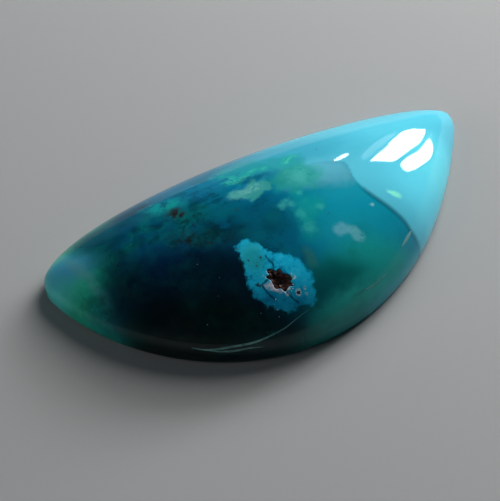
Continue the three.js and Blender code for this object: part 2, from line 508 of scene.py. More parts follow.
class StonePaint:
    """Lays zones of colour and clearness over each other in a material, in the stone's millimetres."""

    def __init__(self, tree: Tree, colour: str, clearness: float) -> None:
        """Starts with one colour and one clearness all over."""
        self.tree = tree
        place = add_node(tree, "ShaderNodeTexCoord").outputs["Object"]
        scaled = add_node(tree, "ShaderNodeVectorMath", {0: place, 1: (1 / MM,) * 3}, operation="MULTIPLY")
        self.place = scaled.outputs[0]
        # Growth makes borders wander by about half a millimetre
        wander = add_node(tree, "ShaderNodeTexNoise", {"Vector": self.place, "Scale": 0.8, "Detail": 3.0})
        centred = add_node(
            tree, "ShaderNodeVectorMath", {0: wander.outputs["Color"], 1: (0.5,) * 3}, operation="SUBTRACT"
        )
        scaling = {0: centred.outputs[0], "Scale": 0.9}
        shift = add_node(tree, "ShaderNodeVectorMath", scaling, operation="SCALE")
        sum_of = {0: self.place, 1: shift.outputs[0]}
        moved = add_node(tree, "ShaderNodeVectorMath", sum_of, operation="ADD")
        self.wandering = moved.outputs[0]
        self.colour = add_node(tree, "ShaderNodeRGB").outputs[0]
        self.colour.default_value = linear(colour)
        self.clearness = add_node(tree, "ShaderNodeValue").outputs[0]
        self.clearness.default_value = clearness

    def lay(self, mask: Socket, colour: str, clearness: float) -> None:
        """Lays a colour and a clearness where a mask says."""
        self.colour = mixed_colour(self.tree, mask, self.colour, colour)
        clear = add_node(self.tree, "ShaderNodeMix", {"Factor": mask, 2: self.clearness, 3: clearness})
        self.clearness = clear.outputs[0]

    def lay_zones(self, zones: tuple) -> None:
        """Lays zones, the later ones over the earlier ones."""
        for zone in zones:
            self.lay(self.oval(zone), zone.colour, zone.clearness)

    def lay_regions(self, *regions: Region) -> None:
        """Lays regions, the later ones over the earlier ones."""
        for region in regions:
            self.lay(self.region(region), region.colour, region.clearness)

    def both(self, first: Socket, second: Socket | float) -> Socket:
        """The mask where two masks hold."""
        return calculate(self.tree, "MULTIPLY", first, second)

    def added(self, first: Socket, second: Socket | float) -> Socket:
        """The sum of two values."""
        return calculate(self.tree, "ADD", first, second)

    def ramp(self, value: Socket, low: float, high: float, most: float = 1.0) -> Socket:
        """A smooth step of a value, from 0 at low to the most at high."""
        return smooth_step(self.tree, value, low, high, most)

    def noise(self, size: float, detail: float = 4.0, moving: bool = False) -> Socket:
        """Cloudy noise with features of a size in millimetres."""
        vector = self.wandering if moving else self.place
        inputs = {"Vector": vector, "Scale": 1 / size, "Detail": detail, "Roughness": 0.62}
        return add_node(self.tree, "ShaderNodeTexNoise", inputs).outputs[0]

    def grit(self, size: float, detail: float = 4.0, most: float = 1.0) -> Socket:
        """Noise that is stretched over the whole range from 0 to the most."""
        return self.ramp(self.noise(size, detail), 0.3, 0.7, most)

    def axis(self, name: str) -> Socket:
        """One coordinate, X, Y or Z, in millimetres."""
        return add_node(self.tree, "ShaderNodeSeparateXYZ", {0: self.place}).outputs[name]

    def attribute(self, name: str) -> Socket:
        """A distance that the mesh carries."""
        return add_node(self.tree, "ShaderNodeAttribute", attribute_name=name).outputs["Fac"]

    def rough_edge(self, name: str, grit: Socket, share: float) -> Socket:
        """A distance that the mesh carries, with a share of fine noise on it for a gritty edge."""
        more = self.both(grit, share)
        return self.added(self.attribute(name), more)

    def oval(self, zone: Zone) -> Socket:
        """The mask of a zone: an oval with soft borders, broken into grains where it asks for them."""
        spot = add_node(
            self.tree,
            "ShaderNodeMapping",
            {
                "Vector": self.wandering,
                "Location": (*zone.at, 0),
                "Rotation": (0, 0, math.radians(zone.turn)),
                "Scale": (*zone.half, ENDLESS),
            },
            vector_type="TEXTURE",
        )
        away = add_node(self.tree, "ShaderNodeVectorMath", {0: spot.outputs[0]}, operation="LENGTH")
        mask = self.ramp(away.outputs["Value"], 1 + zone.soft, 1 - zone.soft, zone.strength)
        if not zone.grains:
            return mask
        size, cover, haze = zone.grains
        middle = 0.5 + (0.5 - cover) * NOISE_SPREAD
        return self.both(mask, self.ramp(self.noise(size), middle - haze, middle + haze))

    def region(self, region: Region) -> Socket:
        """The mask of a region, from the distance to its border."""
        inside = self.attribute(region.name)
        if region.wander:
            # The border wanders both ways, in waves about twice as long as they are high
            rough = self.grit(region.wander * 1.8, most=region.wander)
            inside = self.added(self.added(inside, rough), -region.wander / 2)
        return self.ramp(inside, -region.soft, region.soft, region.strength)


class Growth:
    """Where the colours that lie in the stone are, in plan millimetres."""

    milky_end = Region(
        "milky_end",
        PlanLine((
            (-4.0, 9.0), (-2.6, 6.8), (-1.2, 5.6), (-0.2, 4.6), (0.4, 3.4), (1.1, 2.4), (1.8, 2.35),
            (2.5, 2.35), (3.3, 2.25), (4.0, 1.95), (4.7, 1.65), (5.2, 1.2), (5.15, 0.4), (5.0, -0.4),
            (5.1, -1.4), (5.4, -2.2), (5.8, -2.8), (6.2, -3.3), (6.6, -3.8), (7.1, -4.4), (7.4, -4.9),
            (7.8, -5.2), (8.4, -5.5), (9.4, -5.9), (11.0, -6.5), (14.0, -7.5), (18.0, -8.6),
        )),
        "60C0D2", 0.15, soft=0.14, wander=0.08,
    )
    # The pale blunt tip: its milky green, painted lighter as a glow for the light that scatters through the
    # thin tip
    blunt_tip = Region(
        "blunt_tip",
        PlanLine((
            (-19.0, -2.6), (-17.6, -1.7), (-16.6, -0.9), (-15.9, -0.2), (-15.2, 0.5), (-14.8, 1.2),
            (-14.5, 2.2), (-14.2, 3.4), (-13.6, 4.6), (-12.9, 5.8), (-12.5, 7.0), (-12.4, 8.2),
            (-12.4, 9.8),
        )),
        "42D8AE", 0.15, soft=2.0, wander=0.6,
    )
    # A painted reflection: the pale sheen of the bright room mirrored on the far shoulder
    painted_sheen = Region(
        "painted_sheen",
        PlanLine((
            (0.0, 1.7), (-0.2, 1.1), (0.4, 0.7), (1.3, 0.4), (2.3, 0.0), (3.4, -0.4), (4.5, -0.7),
            (5.1, -0.4), (5.3, 0.6), (5.2, 1.4), (4.6, 1.9), (3.3, 2.5), (1.8, 2.6), (0.8, 2.5),
        ), closed=True),
        "70C0D0", 0.35, soft=0.7, wander=0.3, strength=0.8,
    )
    pale_cloud = Region(
        "pale_cloud",
        PlanLine((
            (-3.89, 2.07), (-3.55, 1.66), (-2.84, 1.37), (-2.78, 0.89), (-2.14, 1.06), (-1.55, 1.29),
            (-0.88, 1.34), (-0.75, 1.74), (-0.96, 2.66), (-1.47, 2.6), (-1.71, 3.05), (-2.31, 2.51),
            (-2.88, 2.33), (-3.28, 2.61), (-3.8, 2.53),
        ), closed=True),
        "48A69E", 0.25, soft=0.2, wander=0.35, strength=0.9,
    )
    green_cloud = Region(
        "green_cloud",
        PlanLine((
            (-0.74, 1.03), (0.03, 0.71), (0.12, 0.01), (0.64, -0.06), (1.32, 0.45), (1.78, 0.0), (2.4, 0.5),
            (3.0, 1.4), (2.3, 2.6), (1.3, 2.9), (0.3, 2.6), (-0.42, 2.2),
        ), closed=True),
        "2AACA4", 0.35, soft=0.45, wander=0.5, strength=0.85,
    )
    tail = Region(
        "tail",
        PlanLine((
            (0.1, -0.2), (-0.3, -1.0), (-0.6, -2.0), (-0.68, -2.8), (-0.79, -3.4), (-0.22, -3.7),
            (0.3, -3.1), (0.7, -2.6), (1.4, -2.3), (1.9, -1.5), (1.4, -0.6), (0.8, -0.1),
        ), closed=True),
        "16A6A8", 0.34, soft=0.7, wander=0.8, strength=0.8,
    )
    far_moss = Region(
        "far_moss",
        PlanLine((
            (-3.4, 5.2), (-2.9, 4.6), (-2.0, 4.0), (-1.1, 3.3), (0.0, 2.8), (1.1, 2.1), (2.1, 2.3),
            (2.5, 3.5), (1.4, 4.4), (0.1, 5.0), (-1.1, 5.5), (-2.3, 6.0), (-3.3, 5.9),
        ), closed=True),
        "34A8AC", 0.32, soft=0.5, wander=0.7, strength=0.75,
    )
    nodule = Region(
        "nodule",
        PlanLine((
            (-5.69, -2.72), (-5.87, -3.44), (-5.96, -4.06), (-6.1, -4.98), (-6.03, -5.6), (-5.76, -6.19),
            (-5.05, -6.72), (-4.49, -7.16), (-3.96, -7.29), (-3.34, -7.24), (-2.56, -7.49), (-1.99, -7.27),
            (-1.84, -6.6), (-1.63, -6.13), (-1.87, -5.46), (-2.09, -4.75), (-2.67, -4.17), (-3.47, -3.6),
            (-3.91, -3.13), (-4.28, -2.51), (-4.76, -1.91), (-5.3, -1.85), (-5.75, -2.15),
        ), closed=True),
        "22B8D8", 0.0, soft=0.15, wander=0.3,
    )
    # Green curls along the far side, like brushed strokes
    curls = (
        PlanLine(((-3.6, 5.0), (-3.0, 4.7), (-2.6, 4.0))),
        PlanLine(((-3.3, 3.9), (-3.0, 3.4), (-2.7, 3.6))),
        PlanLine(((-2.5, 3.6), (-2.0, 3.85), (-1.4, 3.86), (-0.95, 4.0), (-0.4, 3.9))),
        PlanLine(((1.2, 3.45), (1.85, 3.75), (2.5, 3.9))),
    )
    regions = (milky_end, blunt_tip, painted_sheen, pale_cloud, green_cloud, tail, far_moss, nodule)
    # Rows of zones: place, half sizes, colour, clearness and, where it isn't 1, strength
    clouds = (
        # Milkier teal towards the cyan end
        Zone((4.5, -2.6), (4.7, 3.4), "1CAEC4", 0.37, soft=0.65),
        Zone((2.7, -5.2), (3.0, 1.8), "24B4C2", 0.37, soft=0.7),
        # Blue-teal upper left, with green clouds
        Zone((-10.0, 2.8), (6.4, 3.4), "0A7AA0", 0.56, soft=0.45),
        Zone((-5.6, 1.6), (2.2, 1.0), "0C94A0", 0.55, 0.7, soft=0.6),
        Zone((-10.6, 2.4), (5.4, 2.8), "149C8C", 0.55, 0.6, soft=0.5, grains=(1.5, 0.45, 0.14)),
        Zone((-9.6, 1.4), (4.4, 2.0), "063A52", 0.6, 0.48, soft=0.5, grains=(1.2, 0.35, 0.14)),
        # The deep, nearly black middle left and its run along the near edge: partly the stone's own dark
        # colour, partly painted shade where little light gets in
        Zone((-9.8, -2.4), (4.7, 2.5), "085888", 0.78, soft=0.45),
        Zone((-7.4, -4.2), (5.0, 2.5), "0A4A60", 0.76, soft=0.45),
        Zone((-5.8, -0.6), (1.5, 1.2), "0C4A4C", 0.7, 0.7, soft=0.6, grains=(0.9, 0.7, 0.1)),
        Zone((-10.4, -5.2), (6.5, 1.7), "1A4438", 0.76, turn=-30, soft=0.5),
        Zone((-5.2, -9.0), (7.0, 1.5), "0E5458", 0.74, turn=-10, soft=0.5),
        # Smoky seam between the dark middle and the blunt tip
        Zone((-13.2, -0.8), (1.4, 3.2), "0A1C18", 0.74, 0.8, turn=22, soft=0.9),
        # A clearer blue between the dark middle and the green
        Zone((-2.6, -1.1), (2.4, 2.1), "087C96", 0.6, 0.7, soft=0.7),
        # Softer green under the near edge on the right
        Zone((2.6, -6.8), (4.8, 1.6), "2CC0B4", 0.38, 0.9, turn=-2, soft=0.6),
        Zone((-0.6, -7.0), (2.8, 1.5), "0C8886", 0.55, 0.8, turn=-2, soft=0.6),
        Zone((0.4, -8.2), (3.4, 0.9), "48DCCC", 0.28, 0.9, turn=4, soft=0.7),
        # A pale ghost beside the nodule
        Zone((-1.3, -4.9), (0.45, 0.7), "50A898", 0.5, 0.6, turn=10, soft=0.6),
        # The far edge is a little bluer
        Zone((-5.0, 7.0), (4.6, 1.3), "1090B8", 0.5, 0.8, turn=-4, soft=0.6),
        Zone((-12.4, 5.2), (3.8, 1.5), "066484", 0.6, 0.8, turn=26, soft=0.6),
    )
    # Shades of the pale blunt tip
    tip_shades = (
        Zone((-13.9, 5.0), (1.9, 1.9), "0A5A74", 0.52, 0.85, turn=0, soft=0.8),
        Zone((-17.6, 3.6), (1.5, 1.7), "70DCE0", 0.15, 0.7, turn=0, soft=0.8),
        Zone((-16.2, 4.2), (1.9, 1.0), "60B8DC", 0.22, 0.85, turn=-42, soft=0.8),
        Zone((-15.6, 3.0), (0.35, 3.0), "84CCCC", 0.3, 0.45, turn=12, soft=0.8),
        Zone((-15.4, -0.6), (3.0, 1.5), "0A4038", 0.6, 0.5, turn=-40, soft=0.8, grains=(1.0, 0.65, 0.25)),
    )
    # Painted glow: green and pale shades low down round the stone, where light gathered through the dome
    # brightens its thin edge
    rim = (
        Zone((5.0, -5.4), (5.6, 5.0), "46CADA", 0.3, 0.85, turn=30, soft=0.6),
        Zone((-1.0, -9.0), (4.0, 1.2), "2CA49C", 0.4, 0.6, turn=0, soft=0.6),
        Zone((-16.4, -0.6), (3.0, 2.4), "38CCB4", 0.35, 0.5, turn=0, soft=0.5),
    )
    # The soft change from the far side to the milky end, and paler patches in that end
    fade = (
        Zone((-2.8, 7.0), (3.2, 2.0), "1C7E9C", 0.45, 0.85, turn=-14, soft=0.8),
        Zone((1.6, 4.6), (5.2, 2.1), "42A4BA", 0.25, 0.75, turn=-14, soft=0.7),
        Zone((3.2, 1.7), (2.4, 0.9), "6CBED0", 0.2, 0.6, turn=-18, soft=0.8),
        Zone((11.0, -3.4), (3.4, 2.4), "74E2F2", 0.1, 0.6, turn=-35, soft=0.7),
        Zone((13.6, -0.4), (2.6, 2.2), "7CE8F0", 0.1, 0.6, turn=-35, soft=0.7),
        Zone((11.5, 1.5), (5.0, 3.0), "60CADA", 0.15, 0.5, soft=0.6, grains=(3.0, 0.5, 0.18)),
    )
    plume = (
        # Dark gaps under the curls
        Zone((-1.9, 3.15), (1.5, 0.4), "0A6478", 0.5, 0.6, turn=-12, soft=0.6, grains=(0.5, 0.6, 0.2)),
        Zone((0.2, 2.1), (0.9, 0.8), "3C9890", 0.35, 0.6, turn=0, soft=0.7, grains=(0.6, 0.6, 0.25)),
        # The paler left end of the scalloped cloud and its bright fibres
        Zone((-3.2, 2.05), (0.75, 0.45), "84C4C0", 0.2, 0.6, turn=-10, soft=0.8, grains=(0.5, 0.8, 0.3)),
        Zone((-2.0, 2.15), (0.6, 0.45), "A8DCD0", 0.2, 0.5, turn=-8, soft=0.7, grains=(0.25, 0.35, 0.2)),
        Zone((1.8, 1.5), (1.4, 1.1), "60C4BC", 0.3, 0.75, soft=0.6, grains=(0.9, 0.55, 0.2)),
        Zone((-0.8, -0.5), (0.7, 0.36), "4CACA4", 0.3, 0.7, turn=-10, soft=0.8, grains=(0.3, 0.5, 0.3)),
        Zone((0.3, -1.6), (1.3, 0.9), "28B0AC", 0.3, 0.75, turn=30, soft=0.7, grains=(0.7, 0.5, 0.25)),
        Zone((-8.2, 4.4), (1.6, 0.8), "14ACA6", 0.38, 0.9, soft=0.6, grains=(0.6, 0.7, 0.14)),
        Zone((7.3, -2.4), (0.5, 0.22), "90ECD0", 0.05, 0.85, turn=-40, soft=0.5, grains=(0.25, 0.9, 0.1)),
    )
    # The milky spot in two lumps, and a fleck beside it
    milky_spot = (
        Zone((1.75, -3.95), (0.65, 0.5), "74BCCC", 0.24, 0.85, turn=0, soft=0.35, grains=(0.4, 1.0, 0.15)),
        Zone((2.7, -4.5), (0.5, 0.7), "74C0C8", 0.24, 0.85, turn=30, soft=0.35, grains=(0.35, 0.9, 0.15)),
        Zone((5.0, -3.0), (0.16, 0.14), "A8DCE4", 0.3, 0.7, soft=0.5),
    )
    # A greyish painted reflection of the lit floor by the near edge, and brown and dark stains
    rust = (
        Zone((-11.4, -4.8), (1.9, 0.6), "4A4846", 0.6, 0.6, turn=-32, soft=0.8, grains=(0.9, 0.6, 0.2)),
        Zone((-7.9, 3.0), (0.75, 0.65), "2E1E1A", 0.1, 0.95, turn=0, soft=0.5, grains=(0.4, 0.8, 0.12)),
        Zone((-8.5, 0.5), (1.0, 0.8), "2A2418", 0.2, 0.8, turn=-30, soft=0.6, grains=(0.5, 0.5, 0.12)),
        Zone((-7.3, 1.9), (1.2, 0.9), "14343A", 0.4, 0.7, turn=0, soft=0.6, grains=(0.4, 0.4, 0.08)),
        Zone((-6.8, -0.6), (1.7, 0.8), "24281C", 0.35, 0.7, soft=0.7, grains=(0.5, 0.5, 0.15)),
    )
    # Dark cracks in the nodule, most of them from the vug
    cracks = (
        PlanLine(((-4.11, -3.59), (-4.06, -3.96), (-3.93, -4.26), (-4.03, -4.6))),
        PlanLine((
            (-4.7, -5.05), (-5.0, -5.15), (-5.24, -5.22), (-5.2, -5.6), (-5.05, -6.0), (-4.88, -6.32),
        )),
        PlanLine(((-5.66, -5.0), (-5.48, -5.2), (-5.24, -5.22))),
        PlanLine(((-3.84, -6.33), (-3.66, -6.74), (-3.36, -7.1))),
    )
    # Places and radii of soft green knots, some of them strung on threads
    knots = (
        (-0.25, -3.15, 0.48), (-1.1, -0.5, 0.3), (-0.4, -0.72, 0.26), (-0.5, -0.1, 0.2), (0.63, 0.04, 0.24),
        (-0.17, -1.8, 0.36), (1.33, -1.85, 0.3),
    )
    # Places and radii of small pits under the polish, painted rather than cut: a painted dark core for the
    # shade in each pit, with pale rims
    pinholes = (
        (-3.11, -6.61, 0.15), (-2.57, -6.54, 0.07), (-2.59, -6.85, 0.07), (-4.43, -5.58, 0.12),
    )
    # Places and radii of brown stains without rims
    stains = (
        (-5.66, -2.22, 0.13), (-4.48, -3.56, 0.1), (-5.36, -3.35, 0.09), (-5.03, -3.93, 0.07),
        (-5.53, -5.08, 0.12), (-4.9, -3.75, 0.05), (-4.7, -2.9, 0.05), (-4.2, 0.8, 0.14),
    )


@dataclass(frozen=True)
class GemSilica:
    """Gem silica, a chalcedony coloured by copper, cut and polished: glassy over a clear-to-milky body.

    Quartz gives the IOR, 1.54. The body absorbs red within 2 or 3 mm, and green and blue within a
    centimetre, so thin edges are pale and green and the middle is deep teal.
    """

    ior: float = 1.54
    gloss: float = 0.22
    roughness: float = 0.035
    absorbs: str = "30DAE1"
    # Per metre
    density: float = 420.0
    body: str = "109CC0"
    clearness: float = 0.55
    back_roughness: float = 0.5
    back_clearness: float = 0.1
    green_haze: str = "1FA89C"
    dark_haze: str = "07303C"
    pit: str = "3A1A14"
    quartz: str = "C9D6DA"
    blush: str = "C8C4CC"
    fibre: str = "3CC4E0"
    # Pale streaks of the painted wood-grain reflection on the far side
    grain: str = "2CACC4"
    deep: str = "0C7498"
    green: str = "2C8C84"
    hairline: str = "0E5A68"
    moss: str = "2CB0A4"
    knot: str = "48BCB4"
    pale_moss: str = "74D0C0"
    vein: str = "062830"
    # Dark streaks of the painted wood-grain reflection
    shadow: str = "064A68"
    # Heights in millimetres between which the rim's painted glow fades in, and the back's frosting
    rim_glow_fades: tuple = (2.4, 0.7)
    back_fades: tuple = (0.32, 0.12)

    def build(self) -> Material:
        """Builds the material of the stone's body."""
        material = bpy.data.materials.new("gem_silica_polished")
        tree = new_tree(material)
        paint = StonePaint(tree, self.body, self.clearness)
        paint.lay_zones(Growth.clouds)
        self.lay_haze(paint)
        paint.lay_regions(Growth.blunt_tip)
        paint.lay_zones(Growth.tip_shades)
        height = paint.axis("Z")
        # The rim's painted glow, strongest low down
        for zone in Growth.rim:
            low = paint.both(paint.oval(zone), paint.ramp(height, *self.rim_glow_fades))
            paint.lay(low, zone.colour, zone.clearness)
        # The painted sheen on the far shoulder, then the milky end
        paint.lay_regions(Growth.painted_sheen, Growth.milky_end)
        self.lay_hairline(paint)
        paint.lay_zones(Growth.fade)
        paint.lay_regions(Growth.tail, Growth.far_moss, Growth.green_cloud, Growth.pale_cloud)
        self.lay_grain_reflection(paint)
        self.lay_curls(paint)
        self.lay_knots(paint)
        # The rust zones begin with a painted reflection of the lit floor by the near edge
        paint.lay_zones(Growth.plume + Growth.milky_spot + Growth.rust)
        paint.lay_regions(Growth.nodule)
        self.lay_nodule(paint)
        self.lay_vug(paint)
        frost = self.lap_back(paint)
        skin = {
            "Base Color": paint.colour,
            "Transmission Weight": paint.clearness,
            "Roughness": frost,
            "IOR": self.ior,
            "Specular IOR Level": self.gloss,
        }
        shader = add_node(tree, "ShaderNodeBsdfPrincipled", skin)
        inside = {"Color": linear(self.absorbs), "Density": self.density}
        body = add_node(tree, "ShaderNodeVolumeAbsorption", inside)
        ends = {"Surface": shader.outputs[0], "Volume": body.outputs[0]}
        add_node(tree, "ShaderNodeOutputMaterial", ends)
        return material

    def lay_haze(self, paint: StonePaint) -> None:
        """Clouds the whole body softly, darker towards the blunt end."""
        across = paint.axis("X")
        paint.lay(paint.ramp(paint.noise(2.2, moving=True), 0.45, 0.75, 0.3), self.green_haze, 0.6)
        dark = paint.ramp(paint.noise(1.3, moving=True), 0.5, 0.3, 0.4)
        paint.lay(paint.both(dark, paint.ramp(across, 1.0, -7.0)), self.dark_haze, 0.76)

    def lay_grain_reflection(self, paint: StonePaint) -> None:
        """Paints a reflection of wood grain along the far side: faint pale and dark streaks where the
        polish mirrors the grain.
        """
        turn = (0, 0, math.radians(-12))
        stretched = {"Vector": paint.place, "Rotation": turn, "Scale": (0.22, 3.2, 0.22)}
        long_way = add_node(paint.tree, "ShaderNodeMapping", stretched).outputs[0]
        fine = {"Vector": long_way, "Scale": 1.0, "Detail": 3.0}
        grain = add_node(paint.tree, "ShaderNodeTexNoise", fine).outputs[0]
        stretch = paint.oval(Zone((-5.4, 3.6), (3.4, 2.2), self.grain, 0.4, turn=-12, soft=0.6))
        paint.lay(paint.both(stretch, paint.ramp(grain, 0.5, 0.75, 0.22)), self.grain, 0.4)
        paint.lay(paint.both(stretch, paint.ramp(grain, 0.5, 0.3, 0.2)), self.shadow, 0.6)

    def lay_curls(self, paint: StonePaint) -> None:
        """Lays the fine green curls of the plume, broken up like moss."""
        away = paint.attribute("curl")
        ragged = paint.added(away, paint.grit(0.6, most=0.6))
        paint.lay(paint.ramp(ragged, 0.85, 0.25, 0.9), self.moss, 0.28)
        fine = paint.ramp(paint.noise(0.3), 0.4, 0.64)
        paint.lay(paint.both(paint.ramp(ragged, 0.6, 0.25, 0.6), fine), self.pale_moss, 0.2)

    def lay_knots(self, paint: StonePaint) -> None:
        """Lays the soft green knots of the plume."""
        ragged = paint.rough_edge("knot", paint.grit(0.6), 0.9)
        paint.lay(paint.ramp(ragged, 2.1, 0.7, 0.7), self.knot, 0.28)

    def lay_hairline(self, paint: StonePaint) -> None:
        """Lays the dark healed seam along the lower part of the milky end's border."""
        away = calculate(paint.tree, "ABSOLUTE", paint.attribute(Growth.milky_end.name))
        stretch = paint.oval(Zone((6.2, -3.4), (2.6, 1.1), self.hairline, 0.3, turn=-45, soft=0.3))
        paint.lay(paint.both(paint.ramp(away, 0.36, 0.02, 0.58), stretch), self.hairline, 0.3)

    def lap_back(self, paint: StonePaint) -> Socket:
        """Frosts the lapped back, which closes it to view, and gives the roughness everywhere."""
        back = paint.ramp(paint.axis("Z"), *self.back_fades)
        clear = {"Factor": back, 2: paint.clearness, 3: self.back_clearness}
        paint.clearness = add_node(paint.tree, "ShaderNodeMix", clear).outputs[0]
        rough = {"Factor": back, 2: self.roughness, 3: self.back_roughness}
        return add_node(paint.tree, "ShaderNodeMix", rough).outputs[0]

    def lay_nodule(self, paint: StonePaint) -> None:
        """Makes the nodule deeper and paler by turns, with fine fibres, a greener part, and painted shade
        darkening its near side.
        """
        inside = paint.region(Growth.nodule)
        # Size and detail of the noise, then where and how strongly it is pale, and dark
        for size, detail, pale, dark in (
            (1.1, 3.0, (0.52, 0.7, 0.7), (0.48, 0.32, 0.7)),
            (0.28, 8.0, (0.52, 0.7, 0.55), (0.46, 0.3, 0.6)),
        ):
            cloud = paint.noise(size, detail=detail)
            paint.lay(paint.both(inside, paint.ramp(cloud, *pale)), self.fibre, 0.0)
            paint.lay(paint.both(inside, paint.ramp(cloud, *dark)), self.deep, 0.0)
        # Painted shade over the nodule's near side, then its greener part
        for zone in (
            Zone((-4.6, -7.0), (2.4, 1.5), self.deep, 0.0, 0.5, soft=0.6),
            Zone((-5.0, -3.2), (0.8, 1.2), self.green, 0.0, 0.6, turn=0, soft=0.6),
        ):
            paint.lay(paint.both(inside, paint.oval(zone)), zone.colour, zone.clearness)

    def lay_vug(self, paint: StonePaint) -> None:
        """Lays the white quartz rim round the vug, the cracks, the small pits with their painted shade, the
        stains, and the dark walls.
        """
        reach = paint.attribute("vug_reach")
        ragged = paint.added(reach, paint.both(paint.grit(0.3, detail=6.0), 0.8))
        broken = paint.ramp(paint.noise(0.7), 0.46, 0.56)
        paint.lay(paint.both(paint.ramp(ragged, 1.65, 1.35, 0.9), broken), self.quartz, 0.0)
        paint.lay_zones((
            Zone((-4.6, -5.75), (0.66, 0.2), self.blush, 0.0, turn=-37, soft=0.4, grains=(0.3, 0.7, 0.12)),
        ))
        grit = paint.grit(0.12, detail=3.0, most=0.7)
        crack = paint.rough_edge("crack", grit, 0.08)
        paint.lay(paint.ramp(crack, 0.14, 0.03, 0.8), self.vein, 0.0)
        # Small pits that aren't cut: a pale rim, and a dark core painted as the shade in the pit
        hole = paint.rough_edge("pinhole", grit, 1.0)
        paint.lay(paint.ramp(hole, 2.0, 1.5, 0.55), self.quartz, 0.0)
        paint.lay(paint.ramp(hole, 1.3, 0.9, 0.95), self.pit, 0.0)
        stain = paint.rough_edge("stain", grit, 0.8)
        paint.lay(paint.ramp(stain, 1.7, 0.7, 0.8), self.pit, 0.0)
        paint.lay(paint.ramp(reach, 1.0, 0.93), self.pit, 0.0)


@dataclass
class Stone:
    """The stone's body, with a grid that crowds round the vug."""

    form: CabochonForm
    dome: Dome
    vug: Vug
    columns: int = 420
    rings: int = 150

    def build(self, material: Material) -> Piece:
        """Builds the body from its back to its crown.

        Args:
            material: The stone's finish.

        Returns:
            The finished piece.
        """
        spot = self.vug.frame.translation
        round_at, inward_at = self.dome.grid_place(spot)
        around = crowded(self.columns, round_at, spread=0.03, gain=9.0, closed=True)
        inward = crowded(self.rings, inward_at, spread=0.1, gain=6.0, closed=False)[:-1]
        edge = self.form.edge(around)
        dome_rings = [self.vug.sink(self.form.dome_ring(edge, r)) for r in inward]
        rings = self.form.wall_rings(edge) + dome_rings
        points, faces = capped(rings, np.zeros(3), np.array([0, 0, self.form.height]))
        piece = new_object("cabochon", points, faces, [material])
        self.carry(piece, "vug_reach", np.minimum(self.vug.reach(points), FAR_AWAY))
        for region in Growth.regions:
            self.carry(piece, region.name, region.border.side(points[:, :2]))
        for name, lines in (("crack", Growth.cracks), ("curl", Growth.curls)):
            away = np.min([np.abs(line.side(points[:, :2])) for line in lines], axis=0)
            self.carry(piece, name, away)
        for name, spots in (("knot", Growth.knots), ("pinhole", Growth.pinholes), ("stain", Growth.stains)):
            away = [np.hypot(points[:, 0] - x, points[:, 1] - y) / radius for x, y, radius in spots]
            self.carry(piece, name, np.minimum(np.min(away, axis=0), FAR_AWAY))
        return keep(piece, STONE_NODE)

    def carry(self, piece: Piece, name: str, values: np.ndarray) -> None:
        """Gives the mesh a number for each vertex, for its material."""
        piece.data.attributes.new(name, "FLOAT", "POINT").data.foreach_set("value", values)


@dataclass(frozen=True)
class OreCrystals:
    """Dark copper-ore crystals as they grew: small bright faces, nearly black with a red depth."""

    colour: str = "5A463C"
    red: str = "78382C"
    roughness: float = 0.2
    ior: float = 2.2
    # A crystal is one or two tenths of a millimetre across, and the reds change at about that size
    patch: float = 0.25

    def build(self) -> Material:
        """Builds the crystals' material."""
        material = bpy.data.materials.new("copper_ore_crystal_faces")
        tree = new_tree(material)
        share = blotches(tree, self.patch, 2.0, 0.45, 0.7)
        colour = mixed_colour(tree, share, self.colour, self.red)
        faces = {"Base Color": colour, "Roughness": self.roughness, "IOR": self.ior}
        shader = add_node(tree, "ShaderNodeBsdfPrincipled", faces)
        add_node(tree, "ShaderNodeOutputMaterial", {"Surface": shader.outputs[0]})
        return material


class Spread(Enum):
    """How grains are spread over the mesh that they grow on."""

    SCATTERED = "anywhere on its faces"
    PLACED = "one at each vertex"


class Habit(Enum):
    """The shape of a grain."""

    CUBE = "a crystal with flat square faces"
    LUMP = "a rounded grain"


